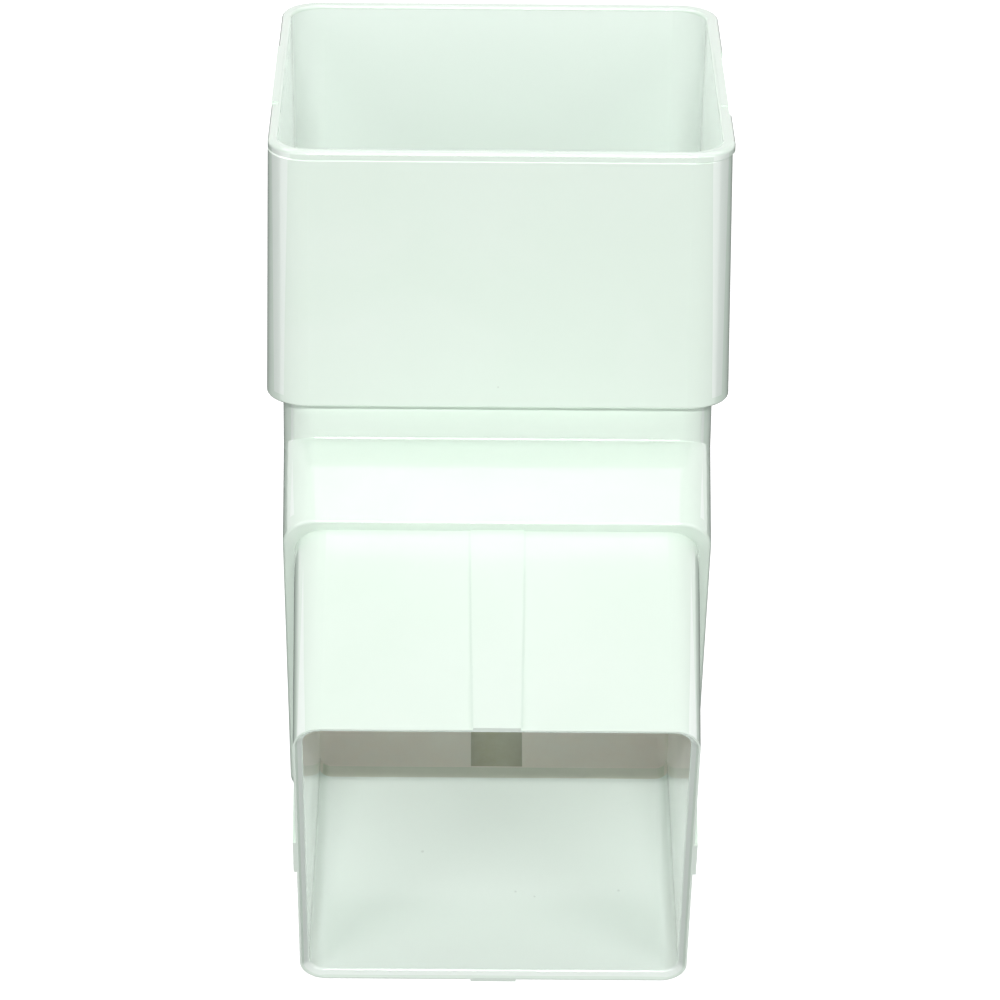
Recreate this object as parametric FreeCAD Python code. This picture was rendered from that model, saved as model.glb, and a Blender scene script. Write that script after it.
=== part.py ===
import FreeCAD, Part
import math
import os
from FreeCAD import Placement, Rotation, Vector

# Square bend for a 65 mm downpipe, moulded in one piece. Millimetres, +Z up.
# The origin is the middle of the socket mouth. The upper pipe drops into the
# socket along Z. The outlet points forwards (-Y) and down.

# Pipe that the socket takes
pipe_size = 65.0
pipe_clearance = 0.5

# Socket, a little wider at its foot than at its mouth
socket_wall = 2.65
socket_draft = 1.0
socket_corner = 6.6
socket_height = 41.4
socket_floor = 2.6
bore_corner_step = 2.0
mouth_flare = 0.6
socket_edge_round = 0.4

# Bead round the mouth, set a little to the right and back, with a gap at the left and right
bead_proud = 0.2
bead_shift_x = 0.2
bead_shift_y = 0.3
bead_height = 1.35
bead_round = 0.7
gap_front = -16.8
gap_back = 13.0
wall_chamfer = 0.2
mouth_round = 0.45

# Land that stands on the rim in each gap
land_height = 0.3
land_front = -13.7
land_back = 12.4
land_thickness = 1.05

# Neck and bend, a little larger than the pipe
neck_growth = 1.35
neck_corner = 5.0
neck_wall = 2.6
neck_drop = 6.3
bend_angle = 67.5
throat_round = 0.6

# Collar between the bend and the shoulder, measured along the throat side
collar_length = 17.15
collar_wall = 2.6
bend_bore_corner = 3.875

# Shoulder that the lower pipe meets, as large as the pipe and a little over
shoulder_growth = 0.4
shoulder_corner = 5.0
shoulder_web = 2.5
shoulder_round = 0.4

# Spigot that goes inside the lower pipe
spigot_length = 38.95
spigot_step = 1.725
spigot_taper = 1.85
spigot_corner = 4.975
spigot_root_wall = 2.975
spigot_mouth_wall = 1.4
lip_bevel_width = 1.1
lip_bevel_depth = 0.8
lip_round = 0.5

# Wedge strips, one along the middle of each side of the spigot
strip_root_width = 8.25
strip_mouth_width = 7.05
strip_root_proud = 0.2
strip_mouth_proud = 0.5
strip_sunk = 1.0
strip_count = 4

# Channel along the floor of the collar, a little to the right of the middle
channel_width = 8.3
channel_depth = 1.7
channel_offset = 0.5

# Values that follow from those above. A flat is the straight part of a side
# between two corners, and it keeps its length along a taper.
stop_depth = socket_height - socket_floor
stop_bore = pipe_size + 2 * pipe_clearance
mouth_bore = stop_bore + 2 * mouth_flare
socket_size = stop_bore + 2 * socket_wall
socket_mouth_size = socket_size - socket_draft
socket_flat = socket_size - 2 * socket_corner
bore_flat = stop_bore - 2 * (socket_corner - bore_corner_step)
neck_size = pipe_size + neck_growth
neck_flat = neck_size - 2 * neck_corner
neck_bore = neck_size - 2 * neck_wall
bend_bore_flat = neck_bore - 2 * bend_bore_corner
shoulder_size = pipe_size + shoulder_growth
shoulder_flat = shoulder_size - 2 * shoulder_corner
collar_bore = shoulder_size - 2 * collar_wall
spigot_root_size = shoulder_size - 2 * spigot_step
spigot_flat = spigot_root_size - 2 * spigot_corner
spigot_mouth_size = spigot_root_size - spigot_taper
spigot_root_bore = spigot_root_size - 2 * spigot_root_wall
spigot_mouth_bore = spigot_mouth_size - 2 * spigot_mouth_wall
spigot_lip_size = spigot_mouth_bore + 2 * lip_bevel_width
throat_depth = socket_height + neck_drop
half_bend = math.radians(bend_angle) / 2
past_end = 1.0
mitre_turn = Rotation(Vector(1, 0, 0), 180 - bend_angle / 2)
turn = Rotation(Vector(1, 0, 0), 180 - bend_angle)
outlet_way = turn.multVec(Vector(0, 0, 1))
outlet_up = turn.multVec(Vector(0, 1, 0))
throat = Vector(0, -neck_size / 2, -throat_depth)
shoulder_centre = throat + outlet_way * collar_length - outlet_up * (neck_size / 2)


def rounded_square(size, flat):
    """Wire of a square with round corners, in the XY plane, about the origin."""
    half = size / 2
    reach = flat / 2
    bulge = reach + (half - reach) * math.sqrt(0.5)
    edges = []
    for quarter in range(4):
        corner_turn = Rotation(Vector(0, 0, 1), 90 * quarter)
        side_start = corner_turn.multVec(Vector(half, -reach, 0))
        side_end = corner_turn.multVec(Vector(half, reach, 0))
        middle = corner_turn.multVec(Vector(bulge, bulge, 0))
        arc_end = corner_turn.multVec(Vector(reach, half, 0))
        edges.append(Part.LineSegment(side_start, side_end).toShape())
        edges.append(Part.Arc(side_end, middle, arc_end).toShape())
    return Part.Wire(edges)


def level(height):
    """Placement of a section that lies flat at a height."""
    return Placement(Vector(0, 0, height), Rotation())


def along_outlet(distance):
    """Placement of a section square to the outlet, at a distance past the shoulder."""
    return Placement(shoulder_centre + outlet_way * distance, turn)


def tube(sections):
    """Solid through (size, flat, placement) sections, with straight sides."""
    wires = []
    for size, flat, place in sections:
        wire = rounded_square(size, flat)
        wire.Placement = place
        wires.append(wire)
    return Part.makeLoft(wires, True, True)


def edges_where(shape, test):
    """Edges whose middle point passes a test."""
    chosen = []
    for edge in shape.Edges:
        middle = edge.valueAt((edge.FirstParameter + edge.LastParameter) / 2)
        if test(middle):
            chosen.append(edge)
    return chosen


def near_plane(point, base, normal, slack=0.01):
    """True where a point lies on a plane."""
    return abs((point - base).dot(normal)) < slack


def socket_shell():
    """Outer form of the socket below the bead, its foot rounded."""
    body = tube([
        (socket_size, socket_flat, level(-socket_height)),
        (socket_mouth_size, socket_flat, level(-bead_height - wall_chamfer)),
        (socket_mouth_size - 2 * wall_chamfer, socket_flat, level(-bead_height)),
    ])
    foot = edges_where(body, lambda p: abs(p.z + socket_height) < 0.01)
    return body.makeFillet(socket_edge_round, foot)


def mouth_bead():
    """Bead round the mouth, cut back to the wall at the left and right gaps."""
    size = socket_mouth_size + 2 * bead_proud
    bead = tube([
        (size, socket_flat, level(-bead_height)),
        (size, socket_flat, level(0)),
    ])
    bead = bead.makeFillet(bead_round, edges_where(bead, lambda p: abs(p.z) < 0.01))
    bead.translate(Vector(bead_shift_x, bead_shift_y, 0))
    for side in (-1, 1):
        inner = side * socket_mouth_size / 2
        outer = inner + side * past_end
        gap = Part.makeBox(past_end, gap_back - gap_front, bead_height)
        gap.translate(Vector(min(inner, outer), gap_front, -bead_height))
        bead = bead.cut(gap)
    return bead


def rim_lands():
    """Two low lands on the rim, flush with the outside of the socket."""
    lands = []
    for side in (-1, 1):
        land = Part.makeBox(land_thickness, land_back - land_front, land_height + bead_height)
        outer = side * socket_mouth_size / 2
        inner = outer - side * land_thickness
        land.translate(Vector(min(inner, outer), land_front, -bead_height))
        lands.append(land)
    return lands


def below_mitre():
    """Block that takes up all space on the outlet's side of the mitre plane."""
    reach = 4 * socket_size
    block = Part.makeBox(reach, reach, reach)
    block.translate(Vector(-reach / 2, -reach / 2, 0))
    block.Placement = Placement(throat, mitre_turn).multiply(block.Placement)
    return block


def mitred(size, flat, start, collar_size, collar_flat, collar_end):
    """Upright square form from a height, turned through the bend to a square end."""
    length = throat_depth + start + 2 * neck_size * math.tan(half_bend)
    upright = tube([
        (size, flat, level(start)),
        (size, flat, level(start - length)),
    ]).cut(below_mitre())
    mitre_normal = mitre_turn.multVec(Vector(0, 0, 1))
    faces = [f for f in upright.Faces if near_plane(f.CenterOfMass, throat, mitre_normal)]
    end_wire = rounded_square(collar_size, collar_flat)
    end_wire.Placement = along_outlet(collar_end)
    collar = Part.makeLoft([faces[0].OuterWire, end_wire], True, True)
    return upright.fuse(collar)


def bend_outside():
    """Neck, bend and collar as one closed form, up to the shoulder."""
    return mitred(neck_size, neck_flat, -socket_height + socket_floor / 2,
                  shoulder_size, shoulder_flat, 0.0)


def bend_inside():
    """Space inside the neck, bend and collar, as far as the web of the shoulder."""
    return mitred(neck_bore, bend_bore_flat, -stop_depth + past_end,
                  collar_bore, bend_bore_flat, -shoulder_web)


def socket_inside():
    """Space for the upper pipe, a little wider at the mouth."""
    return tube([
        (stop_bore, bore_flat, level(-stop_depth)),
        (mouth_bore, bore_flat, level(-bead_height)),
        (mouth_bore, bore_flat, level(past_end)),
    ])


def socket():
    """Socket with its bead, open from above down to its floor."""
    body = socket_shell().fuse(mouth_bead()).cut(socket_inside())
    inner_reach = (mouth_bore + socket_mouth_size) / 4
    mouth_edges = edges_where(body, lambda p: abs(p.z) < 0.01 and max(abs(p.x), abs(p.y)) < inner_reach)
    return body.makeFillet(mouth_round, mouth_edges)


def spigot_outside():
    """Tapered outside of the spigot, rooted in the web of the shoulder."""
    return tube([
        (spigot_root_size, spigot_flat, along_outlet(-shoulder_web / 2)),
        (spigot_root_size, spigot_flat, along_outlet(0.0)),
        (spigot_mouth_size, spigot_flat, along_outlet(spigot_length)),
    ])


def spigot_inside():
    """Space inside the spigot, with a bevel round the inside of the lip."""
    bevel_start = spigot_length - lip_bevel_depth
    slope = (spigot_mouth_bore - spigot_root_bore) / bevel_start
    start = shoulder_web + past_end
    hollow = tube([
        (spigot_root_bore - slope * start, spigot_flat, along_outlet(-start)),
        (spigot_mouth_bore, spigot_flat, along_outlet(bevel_start)),
        (spigot_lip_size, spigot_flat, along_outlet(spigot_length)),
        (spigot_lip_size, spigot_flat, along_outlet(spigot_length + past_end)),
    ])
    bevel_base = shoulder_centre + outlet_way * bevel_start
    inner_edge = edges_where(hollow, lambda p: near_plane(p, bevel_base, outlet_way))
    return hollow.makeFillet(lip_round, inner_edge)


def wedge_strip(quarter):
    """One strip, wider at its root, along the middle of one side of the spigot."""
    wires = []
    for half, width, proud, distance in (
        (spigot_root_size / 2, strip_root_width, strip_root_proud, 0.0),
        (spigot_mouth_size / 2, strip_mouth_width, strip_mouth_proud, spigot_length),
    ):
        low = half - strip_sunk
        high = half + proud
        corners = [
            Vector(-width / 2, low, 0),
            Vector(width / 2, low, 0),
            Vector(width / 2, high, 0),
            Vector(-width / 2, high, 0),
        ]
        wire = Part.makePolygon(corners + corners[:1])
        side_turn = Placement(Vector(0, 0, 0), Rotation(Vector(0, 0, 1), 90 * quarter))
        wire.Placement = along_outlet(distance).multiply(side_turn)
        wires.append(wire)
    return Part.makeLoft(wires, True, True)


def collar_channel():
    """Shallow channel along the floor of the collar, from its web back to the bend."""
    half = collar_bore / 2
    length = collar_length - shoulder_web
    channel = Part.makeBox(channel_width, channel_depth + past_end, length)
    channel.translate(Vector(channel_offset - channel_width / 2, -half - channel_depth, 0))
    channel.Placement = along_outlet(-shoulder_web - length).multiply(channel.Placement)
    return channel


def throat_fillet():
    """Small concave fillet along the straight part of the throat."""
    up = Vector(0, 0, 1)
    ring_top = shoulder_centre + outlet_up * (shoulder_size / 2)
    down_collar = (ring_top - throat).normalize()
    corner_angle = up.getAngle(down_collar)
    tangent = throat_round / math.tan(corner_angle / 2)
    bisector = (up + down_collar).normalize()
    arc_middle = throat + bisector * (throat_round / math.sin(corner_angle / 2) - throat_round)
    upper = throat + up * tangent
    lower = throat + down_collar * tangent
    inside = throat - bisector * throat_round
    profile = Part.Wire([
        Part.LineSegment(inside, upper).toShape(),
        Part.Arc(upper, arc_middle, lower).toShape(),
        Part.LineSegment(lower, inside).toShape(),
    ])
    bar = Part.Face(profile).extrude(Vector(neck_flat, 0, 0))
    bar.translate(Vector(-neck_flat / 2, 0, 0))
    return bar


def on_shoulder_rim(point):
    """True on the outer edge of the shoulder."""
    away = point - shoulder_centre
    across = max(abs(away.x), abs(away.dot(outlet_up)))
    bulge = shoulder_flat / 2 + shoulder_corner * math.sqrt(0.5)
    at_side = abs(across - shoulder_size / 2) < 0.01
    at_corner = abs(across - bulge) < 0.01
    return abs(away.dot(outlet_way)) < 0.01 and (at_side or at_corner)


def elbow():
    """The whole bend as one solid."""
    bend = bend_outside()
    bend = bend.makeFillet(shoulder_round, edges_where(bend, on_shoulder_rim))
    outside = socket().fuse([bend, throat_fillet()] + rim_lands())
    strips = [wedge_strip(quarter) for quarter in range(strip_count)]
    outside = outside.fuse([spigot_outside()] + strips)
    hollow = bend_inside().fuse([spigot_inside(), collar_channel()])
    return outside.cut(hollow).removeSplitter()


os.makedirs("parts", exist_ok=True)
shape = elbow()
print("elbow_body valid", shape.isValid(), "solids", len(shape.Solids), "volume", round(shape.Volume, 1))
print("box", shape.optimalBoundingBox(True, False))
shape.exportStep("parts/elbow_body.step")
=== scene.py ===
import math
import bpy
from mathutils import Matrix, Vector

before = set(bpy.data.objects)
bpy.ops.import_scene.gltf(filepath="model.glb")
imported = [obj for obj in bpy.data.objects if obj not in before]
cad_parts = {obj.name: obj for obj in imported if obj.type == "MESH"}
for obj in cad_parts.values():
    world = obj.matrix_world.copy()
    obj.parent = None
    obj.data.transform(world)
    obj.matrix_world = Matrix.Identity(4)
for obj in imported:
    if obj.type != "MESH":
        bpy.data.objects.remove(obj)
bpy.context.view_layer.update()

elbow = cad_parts["elbow_body"]


def linearColour(hexCode):
    values = [int(hexCode[i:i + 2], 16) / 255 for i in (1, 3, 5)]
    linear = [v / 12.92 if v <= 0.04045 else ((v + 0.055) / 1.055) ** 2.4 for v in values]
    return (*linear, 1.0)


def addNode(tree, kind, settings=None, inputs=None, links=None):
    node = tree.nodes.new(kind)
    for name, value in (settings or {}).items():
        setattr(node, name, value)
    for socket, value in (inputs or {}).items():
        node.inputs[socket].default_value = value
    for socket, source in (links or {}).items():
        tree.links.new(source, node.inputs[socket])
    return node


def calculate(tree, operation, first, second=None, third=None):
    node = addNode(tree, "ShaderNodeMath", {"operation": operation})
    for socket, value in enumerate((first, second, third)):
        if isinstance(value, (int, float)):
            node.inputs[socket].default_value = value
        elif value is not None:
            tree.links.new(value, node.inputs[socket])
    return node.outputs[0]


def mixColour(tree, amount, first, second):
    node = addNode(tree, "ShaderNodeMix", {"data_type": "RGBA"})
    for socket, value in ((0, amount), (6, first), (7, second)):    # the factor, A and B of colours
        if isinstance(value, tuple):
            node.inputs[socket].default_value = value
        else:
            tree.links.new(value, node.inputs[socket])
    return node.outputs[2]


def stretch(tree, value, limits, amount):
    node = addNode(tree, "ShaderNodeMapRange", inputs={
        "From Min": limits[0], "From Max": limits[1], "To Min": amount[0], "To Max": amount[1]},
        links={"Value": value})
    return node.outputs["Result"]


def cloud(tree, place, noise):
    node = addNode(tree, "ShaderNodeTexNoise", inputs={
        "Scale": noise["scale"], "Detail": noise["detail"], "Roughness": noise["roughness"],
        "Distortion": noise.get("distortion", 0.0)}, links={"Vector": place})
    return node.outputs["Fac"]


def patches(tree, place, noise):
    return stretch(tree, cloud(tree, place, noise), noise["limits"], noise["amount"])


def bump(tree, height, distance, under=None):
    links = {"Height": height}
    if under is not None:
        links["Normal"] = under
    node = addNode(tree, "ShaderNodeBump", inputs={"Strength": 1.0, "Distance": distance}, links=links)
    return node.outputs["Normal"]


# The outlet's own directions: along it, and up across it, with the middle of its shoulder
bend = math.radians(67.5)
outletWay = Vector((0, -math.sin(bend), -math.cos(bend)))
outletUp = Vector((0, -math.cos(bend), math.sin(bend)))
shoulderMiddle = Vector((0, -0.036324, -0.084913))


def alongWay(tree, place, way, start):
    dot = addNode(tree, "ShaderNodeVectorMath", {"operation": "DOT_PRODUCT"}, {1: way}, {0: place})
    return calculate(tree, "SUBTRACT", dot.outputs["Value"], start.dot(way))


def between(tree, value, low, high):
    return calculate(tree, "COMPARE", value, (low + high) / 2, (high - low) / 2)


def insideBox(tree, values, limits):
    mask = None
    for value, (low, high) in zip(values, limits):
        part = between(tree, value, low, high)
        mask = part if mask is None else calculate(tree, "MULTIPLY", mask, part)
    return mask


# Injection-moulded uPVC: a hard plastic with a cool green white, a clear polished skin from the
# mould, faint flow mottling, and walls that ripple by a hair between the corners. The inner walls
# are painted paler, a painted light that lifts them, and painted shade darkens the shadowed collar
# floor and the creases beside the wedge strip. Heights are in metres. Of a noise, "limits" are the
# part of it that counts, and "amount" what that becomes: how strong the flow and the painted shade
# are, and how rough the rubbed skin is.
upvcLook = {
    "colours": {
        "outer": "#E4F3E7",
        # Paler inside: painted light on the inner walls
        "inner": "#F2FCF5",
        "flow": "#F4FAF6",
        # The next four colours are painted shade: the shadowed collar floor, the step where the spigot
        # starts, the channel, and the creases beside the wedge strip
        "shadedFloorTint": "#F5EBDD",
        "shadedStepTint": "#DDE0CE",
        "shadedChannelTint": "#BAB997",
        "creaseShadeTint": "#DAEADF",
        "speck": "#8C948E",
    },
    "creaseShadeDepth": 0.42,
    "speckDepth": 0.22,
    "skin": 1.0,
    "skinRoughness": 0.08,
    "ior": 1.5,
    "dust": 0.15,
    "dustSpread": 0.3,
    "rippleHeight": 0.00006,
    "grainHeight": 0.0000025,
    "flow": {"scale": 28, "detail": 4, "roughness": 0.55, "distortion": 0.8,
             "limits": (0.42, 0.75), "amount": (0.0, 0.22)},
    "paintedShadeNoise": {"scale": 260, "detail": 5, "roughness": 0.6,
             "limits": (0.3, 0.7), "amount": (0.8, 1.0)},
    "rub": {"scale": 90, "detail": 6, "roughness": 0.65,
            "limits": (0.35, 0.7), "amount": (0.14, 0.24)},
    "ripple": {"scale": 34, "detail": 2, "roughness": 0.4},
    "grain": {"scale": 1500, "detail": 3, "roughness": 0.6},
}

# The inner walls, as boxes in metres that end within the thickness of the wall: X, Y and Z in the
# socket and neck, and X, across and along the outlet in the bend and spigot
innerWalls = {
    "socket": ((-0.0344, 0.0344), (-0.0344, 0.0344), (-0.0400, -0.0006)),
    "neck": ((-0.0319, 0.0319), (-0.0319, 0.0319), (-0.0560, -0.0380)),
    "bend": ((-0.0316, 0.0316), (-0.0316, 0.0316), (-0.0600, -0.0025)),
    "spigot": ((-0.0294, 0.0294), (-0.0294, 0.0294), (-0.0026, 0.0388)),
}

# Painted shade on the collar floor, which lies in the lip's shadow: a warm darker tint over the
# floor, darker still at the step where the spigot starts and in the moulding channel, as boxes in
# X, across and along the outlet. Each has a colour of its name.
paintedShadePlaces = {
    "shadedFloorTint": ((-0.0315, 0.0315), (-0.0315, 0.0100), (-0.0240, -0.00015)),
    "shadedStepTint": ((-0.0315, 0.0315), (-0.0315, -0.0272), (-0.0023, -0.00015)),
    "shadedChannelTint": ((-0.00365, 0.00465), (-0.0325, -0.0280), (-0.0240, -0.0022)),
}

# Thin lines of painted shade in the creases beside the wedge strip on top, in metres: half the
# strip's width at its root, how fast that narrows towards the mouth, how far off a line fades, and
# its box across and along
creaseShadeLines = {
    "halfWidth": 0.00424,
    "narrowing": -0.0154,
    "fade": (0.00008, 0.00024),
    "box": ((0.0295, 0.0320), (0.0004, 0.0385)),
}

# Small marks, each a dot of a radius in mm at a place in mm
speckPlaces = [
    ((-11.28, -39.34, -116.75), 0.26), ((3.51, -46.55, -119.87), 0.2),
    ((6.51, -47.43, -120.26), 0.18), ((19.81, -46.24, -119.74), 0.22),
    ((0.0, -35.6, -37.9), 0.16), ((33.35, 19.9, -16.9), 0.22), ((33.6, -1.8, -1.0), 0.2),
    ((-33.9, 1.7, -0.1), 0.3), ((-33.7, -2.4, -0.2), 0.3),
    ((-28.4, -52.1, -99.0), 0.2), ((-28.4, -52.2, -100.2), 0.16),
]
mm = 0.001
speckCore, speckRim = 0.5, 1.25    # of the radius: full up to the core, gone at the rim


def makeUpvc(look):
    material = bpy.data.materials.new("mouldedUpvc")
    material.use_nodes = True
    tree = material.node_tree
    tree.nodes.clear()
    place = addNode(tree, "ShaderNodeTexCoord").outputs["Object"]
    split = addNode(tree, "ShaderNodeSeparateXYZ", links={"Vector": place})
    x, y, z = split.outputs["X"], split.outputs["Y"], split.outputs["Z"]
    along = alongWay(tree, place, outletWay, shoulderMiddle)
    across = alongWay(tree, place, outletUp, shoulderMiddle)
    fromPipe, fromOutlet = (x, y, z), (x, across, along)
    shade = {name: linearColour(code) for name, code in look["colours"].items()}

    # Outside and inside: the inner walls are painted paler, a painted light that lifts them
    socketInside = insideBox(tree, fromPipe, innerWalls["socket"])
    neckInside = insideBox(tree, fromPipe, innerWalls["neck"])
    bendInside = insideBox(tree, fromOutlet, innerWalls["bend"])
    spigotInside = insideBox(tree, fromOutlet, innerWalls["spigot"])
    inside = calculate(tree, "MAXIMUM", calculate(tree, "MAXIMUM", socketInside, neckInside),
                       calculate(tree, "MAXIMUM", bendInside, spigotInside))
    colour = mixColour(tree, inside, shade["outer"], shade["inner"])

    # Flow of the melt: cloudy patches a few cm across, hardly paler than the rest
    colour = mixColour(tree, patches(tree, place, look["flow"]), colour, shade["flow"])

    # Painted shade: a warm darker tint on the shadowed collar floor, darker at the step and channel
    paintedShadeNoise = patches(tree, place, look["paintedShadeNoise"])
    for name, box in paintedShadePlaces.items():
        amount = calculate(tree, "MULTIPLY", insideBox(tree, fromOutlet, box), paintedShadeNoise)
        colour = mixColour(tree, amount, colour, shade[name])

    # Painted shade in the creases beside the wedge strip
    stripHalf = calculate(tree, "MULTIPLY_ADD", along, creaseShadeLines["narrowing"],
                          creaseShadeLines["halfWidth"])
    fromMiddle = calculate(tree, "ABSOLUTE", x)
    lineOff = calculate(tree, "ABSOLUTE", calculate(tree, "SUBTRACT", fromMiddle, stripHalf))
    line = stretch(tree, lineOff, creaseShadeLines["fade"], (look["creaseShadeDepth"], 0.0))
    onTop = insideBox(tree, (across, along), creaseShadeLines["box"])
    colour = mixColour(tree, calculate(tree, "MULTIPLY", line, onTop), colour, shade["creaseShadeTint"])

    # Specks of grit in the skin
    grit = None
    for spot, radius in speckPlaces:
        gap = addNode(tree, "ShaderNodeVectorMath", {"operation": "DISTANCE"},
                      {1: tuple(c * mm for c in spot)}, {0: place})
        dot = stretch(tree, gap.outputs["Value"], (radius * mm * speckCore, radius * mm * speckRim),
                      (look["speckDepth"], 0.0))
        grit = dot if grit is None else calculate(tree, "MAXIMUM", grit, dot)
    colour = mixColour(tree, grit, colour, shade["speck"])

    # Ripple of the cooled walls, and the fine grain of the mould on top of it
    rippled = bump(tree, cloud(tree, place, look["ripple"]), look["rippleHeight"])
    grained = bump(tree, cloud(tree, place, look["grain"]), look["grainHeight"], rippled)

    # Gloss a little uneven where hands and packing have rubbed the skin, and a breath of dust inside,
    # where nothing wipes it off
    shader = addNode(tree, "ShaderNodeBsdfPrincipled", inputs={
        "IOR": look["ior"],
        "Sheen Roughness": look["dustSpread"],
        "Coat Weight": look["skin"],
        "Coat Roughness": look["skinRoughness"],
        "Coat IOR": look["ior"],
    }, links={
        "Base Color": colour,
        "Roughness": patches(tree, place, look["rub"]),
        "Normal": grained,
        "Coat Normal": rippled,
        "Sheen Weight": calculate(tree, "MULTIPLY", inside, look["dust"]),
    })
    addNode(tree, "ShaderNodeOutputMaterial", links={"Surface": shader.outputs["BSDF"]})
    return material


elbow.data.materials.clear()
elbow.data.materials.append(makeUpvc(upvcLook))
print("material done")

# Camera in metres, degrees and mm, looking a little down into the outlet
cameraPlace = {
    "location": (-0.0053, -0.697408, 0.244389),
    "azimuth": 0.5,
    "down": 24.474,
    "roll": 0.629,
    "lens": 169.24,
    "sensorWidth": 36,
    "clip": (0.01, 50),
}


def makeCamera(place):
    azimuth, down, roll = (math.radians(place[k]) for k in ("azimuth", "down", "roll"))
    level = math.cos(down)
    ahead = Vector((math.sin(azimuth) * level, math.cos(azimuth) * level, -math.sin(down)))
    right = Vector((math.cos(azimuth), -math.sin(azimuth), 0))
    up = right.cross(ahead)
    turnedRight = right * math.cos(roll) + up * math.sin(roll)
    turnedUp = up * math.cos(roll) - right * math.sin(roll)
    data = bpy.data.cameras.new("camera")
    data.lens = place["lens"]
    data.sensor_width = place["sensorWidth"]
    data.clip_start, data.clip_end = place["clip"]
    camera = bpy.data.objects.new("camera", data)
    bpy.context.scene.collection.objects.link(camera)
    camera.matrix_world = Matrix.Translation(Vector(place["location"])) @ Matrix(
        (turnedRight, turnedUp, -ahead)).transposed().to_4x4()
    bpy.context.scene.camera = camera


makeCamera(cameraPlace)
print("camera done")

# Lamps: metres, degrees and watts. "up" is the angle above level, seen from the front, so over 90 is
# behind, "side" moves a lamp along X, and "turn" swings it round to the right of the elbow. The three
# fills light the sides and the back and leave no highlight of their own.
lampSet = {
    "keyStrip": {"up": 32, "side": 0, "turn": 0, "distance": 1.5, "size": (0.4, 0.03), "power": 10.0},
    "leftStrip": {"up": 32, "side": -1.35, "turn": 0, "distance": 1.5, "size": (1.3, 0.03), "power": 5.8},
    "rightStrip": {"up": 32, "side": 1.35, "turn": 0, "distance": 1.5, "size": (1.3, 0.03), "power": 5.8},
    "overhead": {"up": 75, "side": 0, "turn": 0, "distance": 1.5, "size": (1.0, 0.4), "power": 3.3},
    "leftHigh": {"up": 50, "side": 0, "turn": -90, "distance": 2.0, "size": (0.8, 0.8), "power": 7.2},
    "rightHigh": {"up": 50, "side": 0, "turn": 90, "distance": 2.0, "size": (0.8, 0.8), "power": 7.2},
    "leftFront": {"up": 8, "side": 0, "turn": -50, "distance": 2.0, "size": (0.8, 0.6), "power": 4.8},
    "rightFront": {"up": 8, "side": 0, "turn": 50, "distance": 2.0, "size": (0.8, 0.6), "power": 4.8},
    "leftFill": {"up": 10, "side": 0, "turn": -138, "distance": 2.0, "size": (0.9, 0.8), "power": 11},
    "rightFill": {"up": 10, "side": 0, "turn": 138, "distance": 2.0, "size": (0.9, 0.8), "power": 11},
    "backFill": {"up": 5, "side": 0, "turn": 180, "distance": 2.0, "size": (1.0, 0.7), "power": 12},
    "backTop": {"up": 128, "side": 0, "turn": 0, "distance": 1.5, "size": (1.0, 0.4), "power": 2.4},
}
lampTarget = Vector((0, -0.03, -0.06))


def makeLamp(name, lamp):
    up = math.radians(lamp["up"])
    swing = Matrix.Rotation(math.radians(lamp["turn"]), 3, "Z")
    way = swing @ Vector((0, -math.cos(up), math.sin(up)))
    right = swing @ Vector((1, 0, 0))
    data = bpy.data.lights.new(name, "AREA")
    data.shape = "RECTANGLE"
    data.size, data.size_y = lamp["size"]
    data.energy = lamp["power"]
    obj = bpy.data.objects.new(name, data)
    bpy.context.scene.collection.objects.link(obj)
    turn = Matrix((right, way.cross(right), way)).transposed().to_4x4()
    away = way * lamp["distance"] + right * lamp["side"]
    obj.matrix_world = Matrix.Translation(lampTarget + away) @ turn
    obj.visible_camera = False
    obj.visible_glossy = not name.endswith("Fill")


for name, lamp in lampSet.items():
    makeLamp(name, lamp)
print("lamps done")

# Studio: a floor well below the hung elbow, white to the camera and to reflections, and grey to the
# light that it throws back
studioLook = {
    "floorDrop": 0.40,
    "floorSize": 12.0,
    "floorColour": "#959595",
    "floorGlow": 0.9,
    "skyFill": 0.03,
}

# Dark felt just above the floor, under and behind the elbow: only gloss sees it, and it draws the
# edges
darkCard = {"place": (0, 1.9, -0.399), "size": (5.0, 4.0), "colour": "#5A625E"}
white = (1, 1, 1, 1)


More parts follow.
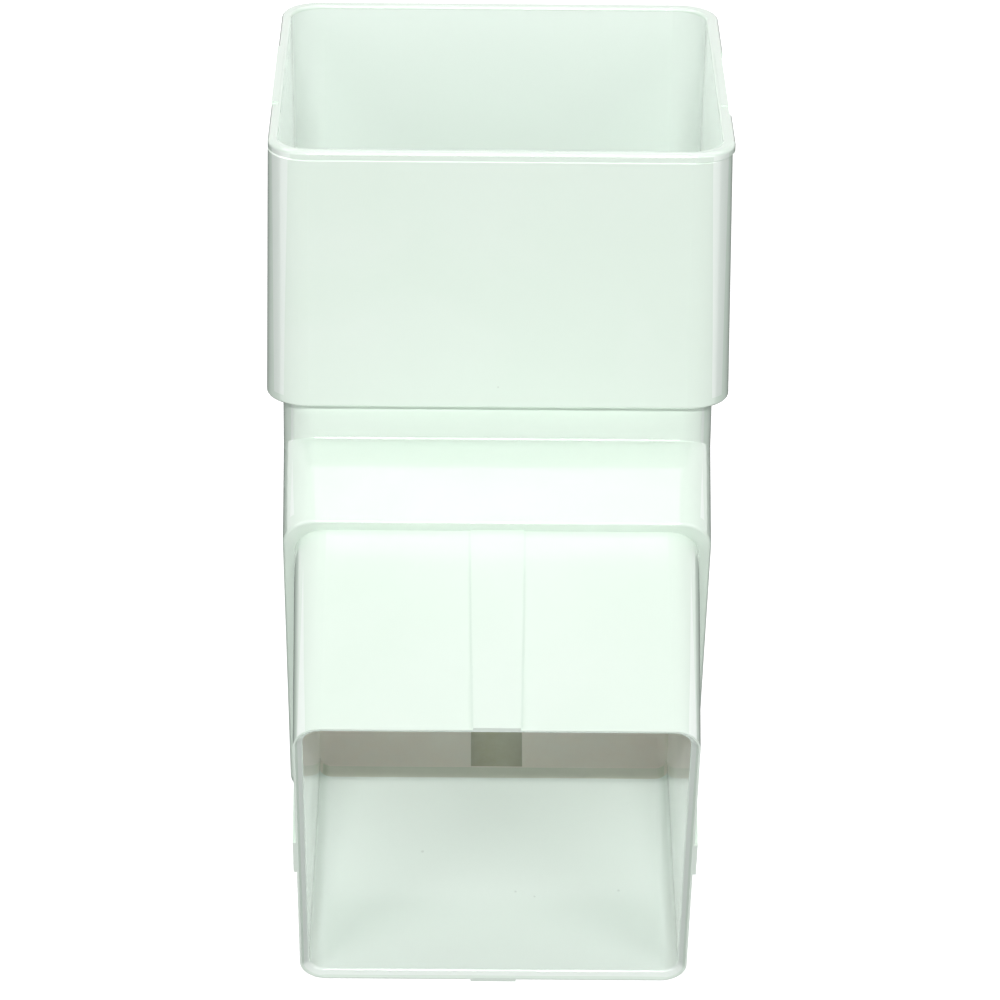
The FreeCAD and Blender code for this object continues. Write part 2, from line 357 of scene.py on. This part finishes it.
def seenOrMirrored(tree):
    path = addNode(tree, "ShaderNodeLightPath")
    seen = calculate(tree, "MAXIMUM", path.outputs["Is Camera Ray"], path.outputs["Is Glossy Ray"])
    return calculate(tree, "MAXIMUM", seen, path.outputs["Is Transmission Ray"])


def makeFloor(look):
    bpy.ops.object.select_all(action="DESELECT")
    bpy.ops.mesh.primitive_plane_add(size=look["floorSize"], location=(0, 0, -look["floorDrop"]))
    floor = bpy.context.object
    floor.name = "studioFloor"
    material = bpy.data.materials.new("paleFloor")
    material.use_nodes = True
    tree = material.node_tree
    tree.nodes.clear()
    matt = addNode(tree, "ShaderNodeBsdfDiffuse", inputs={"Color": linearColour(look["floorColour"])})
    strength = calculate(tree, "MULTIPLY", seenOrMirrored(tree), look["floorGlow"])
    glow = addNode(tree, "ShaderNodeEmission", inputs={"Color": white}, links={"Strength": strength})
    both = addNode(tree, "ShaderNodeAddShader", links={0: matt.outputs[0], 1: glow.outputs[0]})
    addNode(tree, "ShaderNodeOutputMaterial", links={"Surface": both.outputs[0]})
    floor.data.materials.append(material)


def makeWorld(look):
    world = bpy.data.worlds.new("studio")
    bpy.context.scene.world = world
    world.use_nodes = True
    tree = world.node_tree
    background = tree.nodes["Background"]
    background.inputs["Color"].default_value = white
    strength = calculate(tree, "MAXIMUM", seenOrMirrored(tree), look["skyFill"])
    tree.links.new(strength, background.inputs["Strength"])


def makeCard(name, card):
    bpy.ops.object.select_all(action="DESELECT")
    bpy.ops.mesh.primitive_plane_add(size=1, location=card["place"])
    obj = bpy.context.object
    obj.name = name
    obj.scale = (*card["size"], 1)
    material = bpy.data.materials.new(name + "Felt")
    material.use_nodes = True
    shader = material.node_tree.nodes["Principled BSDF"]
    shader.inputs["Base Color"].default_value = linearColour(card["colour"])
    shader.inputs["Roughness"].default_value = 1.0
    shader.inputs["Specular IOR Level"].default_value = 0.0
    obj.data.materials.append(material)
    obj.visible_camera = False
    obj.visible_diffuse = False
    obj.visible_shadow = False


makeFloor(studioLook)
makeWorld(studioLook)
makeCard("darkCard", darkCard)
bpy.context.scene.view_settings.view_transform = "Standard"
print("studio done")
